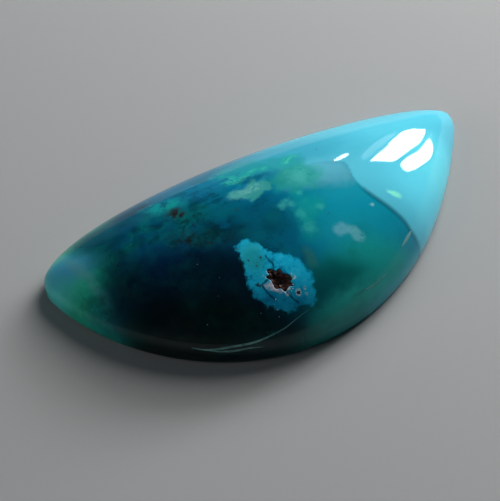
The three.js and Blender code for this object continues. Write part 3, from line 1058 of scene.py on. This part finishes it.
def grain_tree(name: str, material: Material, spread: Spread, habit: Habit) -> Tree:
    """A Geometry Nodes tree that covers a mesh with small grains or crystals.

    Args:
        name: The tree's name.
        material: The grains' finish.
        spread: How the grains are spread.
        habit: The grains' shape.

    Returns:
        The tree, with inputs for how many grains lie on a square millimetre, their sizes and the seed.
    """
    tree = bpy.data.node_groups.new(name, "GeometryNodeTree")
    face = tree.interface
    face.new_socket("Bed", in_out="INPUT", socket_type="NodeSocketGeometry")
    for socket in ("Grains per mm2", "Smallest mm", "Largest mm"):
        face.new_socket(socket, in_out="INPUT", socket_type="NodeSocketFloat")
    face.new_socket("Seed", in_out="INPUT", socket_type="NodeSocketInt")
    face.new_socket("Grains", in_out="OUTPUT", socket_type="NodeSocketGeometry")
    given = add_node(tree, "NodeGroupInput")
    seed = given.outputs["Seed"]
    spots = given.outputs["Bed"]
    if spread is Spread.SCATTERED:
        density = calculate(tree, "MULTIPLY", given.outputs["Grains per mm2"], MM**-2)
        scatter = {"Mesh": spots, "Density": density, "Seed": seed}
        spots = add_node(tree, "GeometryNodeDistributePointsOnFaces", scatter).outputs["Points"]
    if habit is Habit.CUBE:
        grain = add_node(tree, "GeometryNodeMeshCube", {"Size": (1.0, 1.0, 1.0)})
    else:
        grain = add_node(tree, "GeometryNodeMeshIcoSphere", {"Radius": 0.5, "Subdivisions": 1})
    small, large = (
        calculate(tree, "MULTIPLY", given.outputs[key], MM) for key in ("Smallest mm", "Largest mm")
    )
    draws = []
    for least, most in ((small, large), ((0.0,) * 3, (math.tau,) * 3)):
        limits = {0: least, 1: most, "Seed": seed}
        draws.append(add_node(tree, "FunctionNodeRandomValue", limits, data_type="FLOAT_VECTOR").outputs[0])
    size, turn = draws
    placing = {"Points": spots, "Instance": grain.outputs["Mesh"], "Rotation": turn, "Scale": size}
    placed = add_node(tree, "GeometryNodeInstanceOnPoints", placing)
    real = add_node(tree, "GeometryNodeRealizeInstances", {"Geometry": placed.outputs[0]})
    dressed = add_node(tree, "GeometryNodeSetMaterial", {"Geometry": real.outputs[0], "Material": material})
    add_node(tree, "NodeGroupOutput", {"Grains": dressed.outputs[0]})
    return tree


def grow(piece: Piece, tree: Tree, **inputs) -> Piece:
    """Runs a Geometry Nodes tree on a piece and keeps the result as a plain mesh.

    Args:
        piece: The piece whose mesh the tree starts from.
        tree: The tree.
        **inputs: Values for the tree's inputs, with underscores for spaces.

    Returns:
        The same piece, with the grown mesh.
    """
    modifier = piece.modifiers.new("grow", "NODES")
    modifier.node_group = tree
    for item in tree.interface.items_tree:
        key = item.name.replace(" ", "_")
        if item.in_out == "INPUT" and key in inputs:
            modifier[item.identifier] = inputs[key]
    ready = piece.evaluated_get(bpy.context.evaluated_depsgraph_get())
    grown = bpy.data.meshes.new_from_object(ready)
    piece.modifiers.remove(modifier)
    piece.data = grown
    return piece


def joined(name: str, pieces: list[Piece]) -> Piece:
    """Joins pieces into the first one, under a new name."""
    with bpy.context.temp_override(active_object=pieces[0], selected_editable_objects=pieces):
        bpy.ops.object.join()
    pieces[0].name = pieces[0].data.name = name
    return pieces[0]


@dataclass
class VugCrust:
    """The crust of crystals on the vug's floor."""

    vug: Vug
    lift: float = 0.2
    thickness: float = 0.1
    reach: float = 0.86
    columns: int = 72
    rings: int = 16

    def bed(self) -> tuple[np.ndarray, list]:
        """The vug's floor as a closed thin bed: points and faces."""
        angles = np.linspace(0, math.tau, self.columns, endpoint=False)
        jag = self.vug.jag(angles)
        turned = np.array(self.vug.frame.to_3x3())
        origin = np.array(self.vug.frame.translation)
        layers = []
        for lift in (self.lift, self.lift + self.thickness):
            for reach in np.linspace(self.reach, 0.05, self.rings):
                x = self.vug.half_length * jag * reach * np.cos(angles)
                y = self.vug.half_width * jag * reach * np.sin(angles)
                flat = np.stack([x, y, np.zeros_like(x)], 1) @ turned.T + origin
                out = np.array(self.vug.frame.col[2])[:3]
                layers.append(self.vug.sink(flat) + out * lift)
        rings = layers[: self.rings][::-1] + layers[self.rings :]
        return capped(rings, rings[0].mean(0), rings[-1].mean(0))

    def build(self, material: Material) -> Piece:
        """Builds the bed, grows crystals on it and joins them."""
        points, faces = self.bed()
        crystals = new_object("vug_crust", points, faces, [material])
        under = crystals.copy()
        under.data = crystals.data.copy()
        bpy.context.scene.collection.objects.link(under)
        tree = grain_tree("crystal_growth", material, Spread.SCATTERED, Habit.CUBE)
        grow(crystals, tree, Grains_per_mm2=90.0, Smallest_mm=0.05, Largest_mm=0.22, Seed=CRYSTAL_SEED)
        crust = joined("vug_crust", [crystals, under])
        crust.data.polygons.foreach_set("use_smooth", [False] * len(crust.data.polygons))
        return keep(crust, CRYSTAL_NODE)


@dataclass(frozen=True)
class BlotchedFinish:
    """A mineral whose colour varies softly between two, in blotches of a size in millimetres."""

    name: str
    colour: str
    shade: str
    roughness: float
    blotch: float

    def build(self) -> Material:
        """Builds the mineral's material."""
        material = bpy.data.materials.new(self.name)
        tree = new_tree(material)
        share = blotches(tree, self.blotch, 4.0, 0.35, 0.65)
        colour = mixed_colour(tree, share, self.colour, self.shade)
        # The roughness goes up and down by a fifth with the blotches
        limits = {"Value": share, "To Min": self.roughness * 0.8, "To Max": self.roughness * 1.2}
        wear = add_node(tree, "ShaderNodeMapRange", limits)
        skin = {"Base Color": colour, "Roughness": wear.outputs[0]}
        shader = add_node(tree, "ShaderNodeBsdfPrincipled", skin)
        add_node(tree, "ShaderNodeOutputMaterial", {"Surface": shader.outputs[0]})
        return material


@dataclass(frozen=True)
class Turquoise(BlotchedFinish):
    """Massive chrysocolla: a dense turquoise-blue clay-like mineral, dull under the polish."""

    name: str = "turquoise_chrysocolla"
    colour: str = "22AAD4"
    shade: str = "0D7FA0"
    roughness: float = 0.5
    blotch: float = 0.35


@dataclass(frozen=True)
class MossyChalcedony(BlotchedFinish):
    """Chalcedony crowded with fine malachite fibres: soft pale green grains, waxy on their broken faces."""

    name: str = "mossy_green_chalcedony"
    colour: str = "86D8C4"
    shade: str = "4FB8A0"
    roughness: float = 0.45
    blotch: float = 0.3


@dataclass(frozen=True)
class IronOxide(BlotchedFinish):
    """Rust-brown iron and copper oxide: earthy specks from a twentieth to a third of a millimetre."""

    name: str = "earthy_iron_oxide"
    colour: str = "1A0F0C"
    shade: str = "3A1E14"
    roughness: float = 0.6
    blotch: float = 0.2


@dataclass(frozen=True)
class PaleHairlineFinish(BlotchedFinish):
    """A pale, waxy thread in the polish; on the long hairline and its branch it is a painted reflection of
    the lit floor in front.
    """

    name: str = "healed_chalcedony"
    colour: str = "7FB0AC"
    shade: str = "3F7874"
    roughness: float = 0.3
    blotch: float = 0.8


@dataclass(frozen=True)
class GlintSpeck(BlotchedFinish):
    """Painted glints: tiny white specks that stand in for sparkles of light under the polish and in the
    vug.
    """

    name: str = "drusy_quartz_white"
    colour: str = "F4F8FA"
    shade: str = "C8D8DC"
    roughness: float = 0.15
    blotch: float = 0.1


@dataclass
class Nodule:
    """The turquoise nodule round the vug, a lump that hangs under the polish."""

    dome: Dome
    vug: Vug
    middle: tuple[float, float] = (-3.9, -5.1)
    depth: float = 2.6
    skin: float = 0.07
    rim_thickness: float = 0.1
    # How much wider than the vug the hollow in it is
    hollow_room: float = 1.25
    lumpiness: float = 0.35
    lumps_per_mm: float = 0.9
    columns: int = 120
    rings: int = 40

    def build(self, material: Material) -> Piece:
        """Builds the lump from the line that the stone's own colour shows.

        Args:
            material: The nodule's finish.

        Returns:
            The finished piece.
        """
        line = Growth.nodule.border.fine()[:-1]
        run = np.linspace(0, len(line), self.columns, endpoint=False)
        loop = np.concatenate([line, line[:1]])
        edge = np.stack([np.interp(run, range(len(loop)), loop[:, k]) for k in (0, 1)], 1)
        middle = np.array(self.middle)
        top, low = [], []
        for share in np.linspace(0.97, 0.03, self.rings):
            flat = middle + (edge - middle) * share
            spots = np.array([self.dome.under(x, y, self.skin) for x, y in flat])
            top.append(self.vug.sink(spots, room=self.hollow_room) - np.array([0, 0, self.skin]))
            bulge = math.sqrt(1 - share**2)
            lumps = np.array([noise.noise(Vector((x, y, 3.0)) * self.lumps_per_mm) for x, y in flat])
            hang = self.rim_thickness + self.depth * bulge * (1 + self.lumpiness * lumps)
            low.append(spots - np.array([0, 0, 1]) * hang[:, None])
        rings = low[::-1] + top
        points, faces = capped(rings, rings[0].mean(0), rings[-1].mean(0))
        return keep(new_object("nodule", points, faces, [material]))


@dataclass(frozen=True)
class Patch:
    """A patch of grains under the polish: an oval in plan, at one depth, all in millimetres."""

    at: tuple[float, float]
    half: tuple[float, float]
    depth: float
    per_mm2: float
    smallest: float
    largest: float
    turn: float = -28.0


@dataclass
class Grains:
    """Patches of grains that lie in the stone."""

    dome: Dome
    name: str
    patches: tuple
    columns: int = 24
    rings: int = 6

    def bed(self, patch: Patch) -> Piece:
        """A thin curved sheet under the polish that a patch's grains grow on."""
        turn = math.radians(patch.turn)
        points = []
        for share in np.linspace(1, 0.1, self.rings):
            for angle in np.linspace(0, math.tau, self.columns, endpoint=False):
                x, y = patch.half[0] * share * math.cos(angle), patch.half[1] * share * math.sin(angle)
                across = patch.at[0] + x * math.cos(turn) - y * math.sin(turn)
                up = patch.at[1] + x * math.sin(turn) + y * math.cos(turn)
                points.append(self.dome.under(across, up, patch.depth))
        return new_object("bed", np.array(points), ring_faces(self.columns, self.rings), [])

    def build(self, material: Material) -> Piece:
        """Grows all patches and joins them."""
        tree = grain_tree(self.name + "_growth", material, Spread.SCATTERED, Habit.LUMP)
        grown = []
        for seed, patch in enumerate(self.patches, FIRST_SEED):
            sizes = {"Smallest_mm": patch.smallest, "Largest_mm": patch.largest}
            grown.append(grow(self.bed(patch), tree, Grains_per_mm2=patch.per_mm2, Seed=seed, **sizes))
        return keep(joined(self.name, grown))


@dataclass
class PaleHairlines:
    """Fine pale hairlines in the polish: hair-thin ribbons in the surface, in millimetres. The long one and
    its branch are a painted reflection of the lit floor in front.
    """

    dome: Dome
    lines: tuple
    # They stand this much above the polish, so that it doesn't hide them
    proud: float = 0.004

    def build(self, material: Material) -> Piece:
        """Builds one tapered ribbon for each line, widest in its middle.

        Args:
            material: The ribbons' finish.

        Returns:
            The finished piece.
        """
        points, faces = [], []
        for line, width in self.lines:
            spots = line.fine()
            along = np.gradient(spots, axis=0)
            across = np.stack([-along[:, 1], along[:, 0]], 1) / np.linalg.norm(along, axis=1)[:, None]
            taper = np.sin(np.linspace(0.02, math.pi - 0.02, len(spots))) ** 0.7
            first = len(points)
            for spot, side, share in zip(spots, across, taper):
                for sign in (-1, 1):
                    x, y = spot + side * sign * share * width / 2
                    points.append(self.dome.under(x, y, -self.proud))
            for k in range(first, len(points) - 2, 2):
                faces.append((k, k + 2, k + 3, k + 1))
        piece = new_object("healed_cracks", np.array(points), faces, [material])
        piece.data.flip_normals()
        return keep(piece)


@dataclass
class Specks:
    """Single specks at places of their own, in plan, some depth under the polish."""

    dome: Dome
    name: str
    places: tuple
    depth: float
    smallest: float
    largest: float

    def build(self, material: Material) -> Piece:
        """Grows a grain at each place."""
        points = np.array([self.dome.under(x, y, self.depth) for x, y in self.places])
        specks = new_object(self.name, points, [], [])
        tree = grain_tree(self.name + "_growth", material, Spread.PLACED, Habit.LUMP)
        grow(specks, tree, Smallest_mm=self.smallest, Largest_mm=self.largest, Seed=SPECK_SEED)
        return keep(specks)


@dataclass(frozen=True)
class WindowPane:
    """One bright pane that the dome mirrors: where the stone sees its corners, and how bright it is."""

    name: str
    # Compass from +Y towards +X, and climb from the horizon, in degrees
    corners: tuple
    radiance: float
    colour: str = "F4F8FF"

    def build(self, distance: float) -> None:
        """Hangs the pane flat at a distance in millimetres, facing the stone."""
        looks = [direction(compass, climb) for compass, climb in self.corners]
        facing = sum(looks, Vector()).normalized()
        spots = [look * distance / look.dot(facing) for look in looks]
        material = bpy.data.materials.new(self.name)
        tree = new_tree(material)
        light = {"Color": linear(self.colour), "Strength": self.radiance}
        glow = add_node(tree, "ShaderNodeEmission", light)
        add_node(tree, "ShaderNodeOutputMaterial", {"Surface": glow.outputs[0]})
        pane = new_object(self.name, np.array(spots), [tuple(range(len(spots)))], [material])
        pane.visible_camera = False


@dataclass(frozen=True)
class SoftLamp:
    """A round soft lamp that the polish doesn't mirror. Distance and size are in millimetres."""

    name: str
    compass: float
    climb: float
    distance: float
    size: float
    radiance: float

    def build(self) -> None:
        """Hangs the lamp, facing the stone."""
        data = bpy.data.lights.new(self.name, "AREA")
        data.shape = "DISK"
        data.size = self.size * MM
        data.energy = self.radiance * math.pi * math.pi * (data.size / 2) ** 2
        lamp = bpy.data.objects.new(self.name, data)
        towards = direction(self.compass, self.climb)
        lamp.location = towards * self.distance * MM
        lamp.rotation_euler = (-towards).to_track_quat("-Z", "Y").to_euler()
        lamp.visible_glossy = False
        lamp.visible_camera = False
        bpy.context.scene.collection.objects.link(lamp)


@dataclass
class Studio:
    """Camera, floor and lights."""

    target: tuple = (-2.671, 1.440, 0.0)
    turn: float = 28.11
    climb: float = 50.0
    distance: float = 105.41
    lens: float = 100.0
    floor_side: float = 1600.0
    floor_drop: float = 0.05
    floor_colour: str = "9C9B99"
    floor_roughness: float = 0.8
    light_distance: float = 500.0
    # The room is dim overhead, paler low down, and palest in a low band behind the stone
    overhead: str = "27333C"
    low_down: str = "565C60"
    band: str = "5C8C9C"
    band_compass: float = 30.0
    lamps: tuple = (
        SoftLamp("soft_key", 58.0, 38.0, 190.0, 130.0, 8.5),
        SoftLamp("soft_fill", -85.0, 30.0, 400.0, 260.0, 1.6),
    )
    panes: tuple = (
        WindowPane(
            "window_left",
            (
                (50.2, 35.1), (52.0, 32.6), (55.9, 29.6), (56.8, 27.0), (55.5, 24.4), (56.6, 22.4),
                (61.3, 20.5), (68.2, 18.1), (71.4, 15.3), (71.9, 15.0), (70.7, 18.1), (68.1, 21.8),
                (65.6, 25.6), (64.1, 29.1), (62.3, 30.9), (57.1, 33.1),
            ),
            27.0,
        ),
        WindowPane(
            "window_right",
            (
                (69.1, 28.5), (68.0, 27.0), (69.5, 22.8), (72.6, 18.2), (74.4, 12.0), (77.0, 7.6),
                (79.3, 4.4), (80.9, 4.8), (80.9, 10.4), (79.9, 18.6), (78.5, 24.5), (74.5, 27.1),
            ),
            27.0,
        ),
        WindowPane(
            "window_sheer",
            (
                (46.4, 35.8), (46.1, 33.0), (46.0, 29.2), (48.0, 25.6), (51.2, 23.5), (54.5, 26.6),
                (54.2, 30.3), (50.7, 32.7), (48.6, 34.7),
            ),
            2.4,
        ),
        WindowPane(
            "window_slit",
            (
                (32.5, 31.5), (32.3, 28.5), (33.1, 27.6), (35.0, 28.5), (37.7, 32.3), (36.1, 33.4),
                (34.3, 32.7),
            ),
            18.0,
        ),
    )

    def camera(self) -> None:
        """Places the camera at the photograph's viewing angle."""
        data = bpy.data.cameras.new("camera")
        data.lens = self.lens
        data.clip_start, data.clip_end = MM, 100.0
        camera = bpy.data.objects.new("camera", data)
        forward = -direction(self.turn + 180, self.climb)
        camera.location = (Vector(self.target) - forward * self.distance) * MM
        camera.rotation_euler = forward.to_track_quat("-Z", "Y").to_euler()
        bpy.context.scene.collection.objects.link(camera)
        bpy.context.scene.camera = camera

    def floor(self) -> None:
        """Lays a plain pale floor just under the stone."""
        half = self.floor_side / 2
        corners = [(-half, -half), (half, -half), (half, half), (-half, half)]
        points = np.array([(x, y, -self.floor_drop) for x, y in corners])
        material = bpy.data.materials.new("pale_paper_matte")
        material.use_nodes = True
        shader = material.node_tree.nodes["Principled BSDF"]
        shader.inputs["Base Color"].default_value = linear(self.floor_colour)
        shader.inputs["Roughness"].default_value = self.floor_roughness
        new_object("floor", points, [(0, 1, 2, 3)], [material])

    def room(self) -> None:
        """Lights the room dimly, with a paler low band behind the stone."""
        world = bpy.data.worlds.new("dim_room")
        tree = new_tree(world)
        look = add_node(tree, "ShaderNodeTexCoord").outputs["Generated"]
        climb = add_node(tree, "ShaderNodeSeparateXYZ", {0: look}).outputs["Z"]
        low = smooth_step(tree, climb, 0.5, 0.25)
        towards = {0: look, 1: tuple(direction(self.band_compass, 0.0))}
        behind = add_node(tree, "ShaderNodeVectorMath", towards, operation="DOT_PRODUCT")
        far = smooth_step(tree, behind.outputs["Value"], -0.3, 0.6)
        in_band = calculate(tree, "MULTIPLY", low, far)
        horizon = smooth_step(tree, climb, 0.45, 0.0)
        dim = mixed_colour(tree, horizon, self.overhead, self.low_down)
        colour = mixed_colour(tree, in_band, dim, self.band)
        glow = add_node(tree, "ShaderNodeBackground", {"Color": colour, "Strength": 1.0})
        add_node(tree, "ShaderNodeOutputWorld", {"Surface": glow.outputs[0]})
        bpy.context.scene.world = world

    def build(self) -> None:
        """Sets up the camera, the floor, the window panes, the lamps and the dim room."""
        self.camera()
        self.floor()
        for pane in self.panes:
            pane.build(self.light_distance)
        for lamp in self.lamps:
            lamp.build()
        self.room()
        bpy.context.scene.view_settings.view_transform = "Standard"
        bpy.context.scene.view_settings.look = "Medium High Contrast"


# Pale green grains of the plume
PLUME = (
    Patch((1.2, 2.3), (2.0, 1.0), 0.3, 16.0, 0.05, 0.14),
    Patch((-2.2, 2.0), (1.6, 0.6), 0.15, 7.0, 0.05, 0.12),
    Patch((-2.2, 4.2), (1.2, 0.7), 0.2, 10.0, 0.05, 0.1),
    Patch((0.4, 3.6), (1.6, 0.6), 0.2, 10.0, 0.05, 0.1),
    Patch((0.6, -0.6), (0.9, 0.9), 0.35, 12.0, 0.05, 0.14),
    Patch((0.2, -2.2), (0.5, 1.2), 0.3, 14.0, 0.05, 0.14),
    Patch((-8.6, 4.8), (1.1, 0.5), 0.2, 18.0, 0.05, 0.14),
    Patch((6.9, -2.4), (0.4, 0.2), 0.12, 30.0, 0.05, 0.12),
)
# Rust in the brown spots and the smoky seam
RUST = (
    Patch((-7.9, 3.1), (0.55, 0.5), 0.1, 40.0, 0.1, 0.3),
    Patch((-8.4, 0.6), (0.7, 0.9), 0.2, 9.0, 0.08, 0.26),
    Patch((-13.2, 0.9), (0.5, 0.8), 0.2, 7.0, 0.05, 0.18),
)
# Places of single specks of ore
SPECKS = (
    (-4.26, 0.79), (-4.2, 0.87), (-8.9, 1.05), (-8.8, 1.2), (-9.6, 0.5), (-9.35, 0.36), (-8.9, 0.3),
    (-8.65, 0.3), (-8.27, 0.26), (-8.1, 0.1), (-7.4, -0.6), (-7.2, -0.75), (-11.1, -0.2), (-6.05, 2.75),
    (-7.4, 1.3), (-6.9, 1.55), (-7.0, 0.7), (-13.3, 1.6), (-13.2, 0.6), (-13.5, -0.8), (4.2, 3.7),
    (1.6, -2.5), (1.9, 3.0), (-2.0, 1.1),
)
# Places of painted glints, white specks for sparkles of light, under the polish and on the crystals in the
# vug
GLINTS = (
    (-6.3, -3.0), (-7.7, -3.4), (-8.3, -4.4), (-9.7, -5.4), (-4.8, -6.35), (-6.1, -6.6), (-5.0, -7.25),
    (-4.95, -6.9), (-8.6, -1.8), (-8.8, 6.1), (-9.3, 4.8), (-3.38, -6.27), (-3.55, -6.35), (-3.25, -6.05),
)
VUG_GLINTS = ((-4.15, -5.3), (-3.85, -5.75), (-3.7, -5.25), (-4.3, -5.0), (-3.55, -5.85))
# Lines and greatest widths of the pale hairlines: a long one and its branch, painted as a reflection of the
# lit floor in front, and two short ones
HAIRLINES = (
    (
        PlanLine((
            (-11.1, -5.65), (-10.4, -6.15), (-9.5, -6.65), (-7.85, -7.33), (-6.6, -7.68), (-5.1, -7.85),
            (-4.2, -7.8), (-2.5, -7.6),
        )),
        0.075,
    ),
    (PlanLine(((-10.2, -6.3), (-9.4, -6.78), (-8.5, -7.22), (-7.5, -7.6), (-6.6, -7.93))), 0.045),
    (PlanLine(((7.5, -4.8), (6.9, -5.2), (6.1, -5.7))), 0.17),
    (PlanLine(((0.6, -7.8), (2.5, -7.5), (4.2, -6.95))), 0.05),
)


def main() -> None:
    """Builds the stone, what lies in it, and the studio."""
    logging.basicConfig(level=logging.INFO, format="%(name)s: %(message)s")
    Studio().build()
    form = CabochonForm()
    dome = Dome(form)
    vug = Vug(dome)
    gem = GemSilica().build()
    ore = OreCrystals().build()
    Stone(form, dome, vug).build(gem)
    VugCrust(vug).build(ore)
    Nodule(dome, vug).build(Turquoise().build())
    Grains(dome, "plume", PLUME).build(MossyChalcedony().build())
    rust = IronOxide().build()
    Grains(dome, "rust_grains", RUST).build(rust)
    Specks(dome, "ore_specks", SPECKS, depth=0.07, smallest=0.1, largest=0.22).build(rust)
    # Pale hairlines, the long two a painted reflection
    PaleHairlines(dome, HAIRLINES).build(PaleHairlineFinish().build())
    # White specks painted as glints
    quartz = GlintSpeck().build()
    Specks(dome, "glints", GLINTS, depth=0.03, smallest=0.06, largest=0.12).build(quartz)
    Specks(dome, "vug_glints", VUG_GLINTS, depth=0.4, smallest=0.05, largest=0.1).build(quartz)


if __name__ == "__main__":
    main()
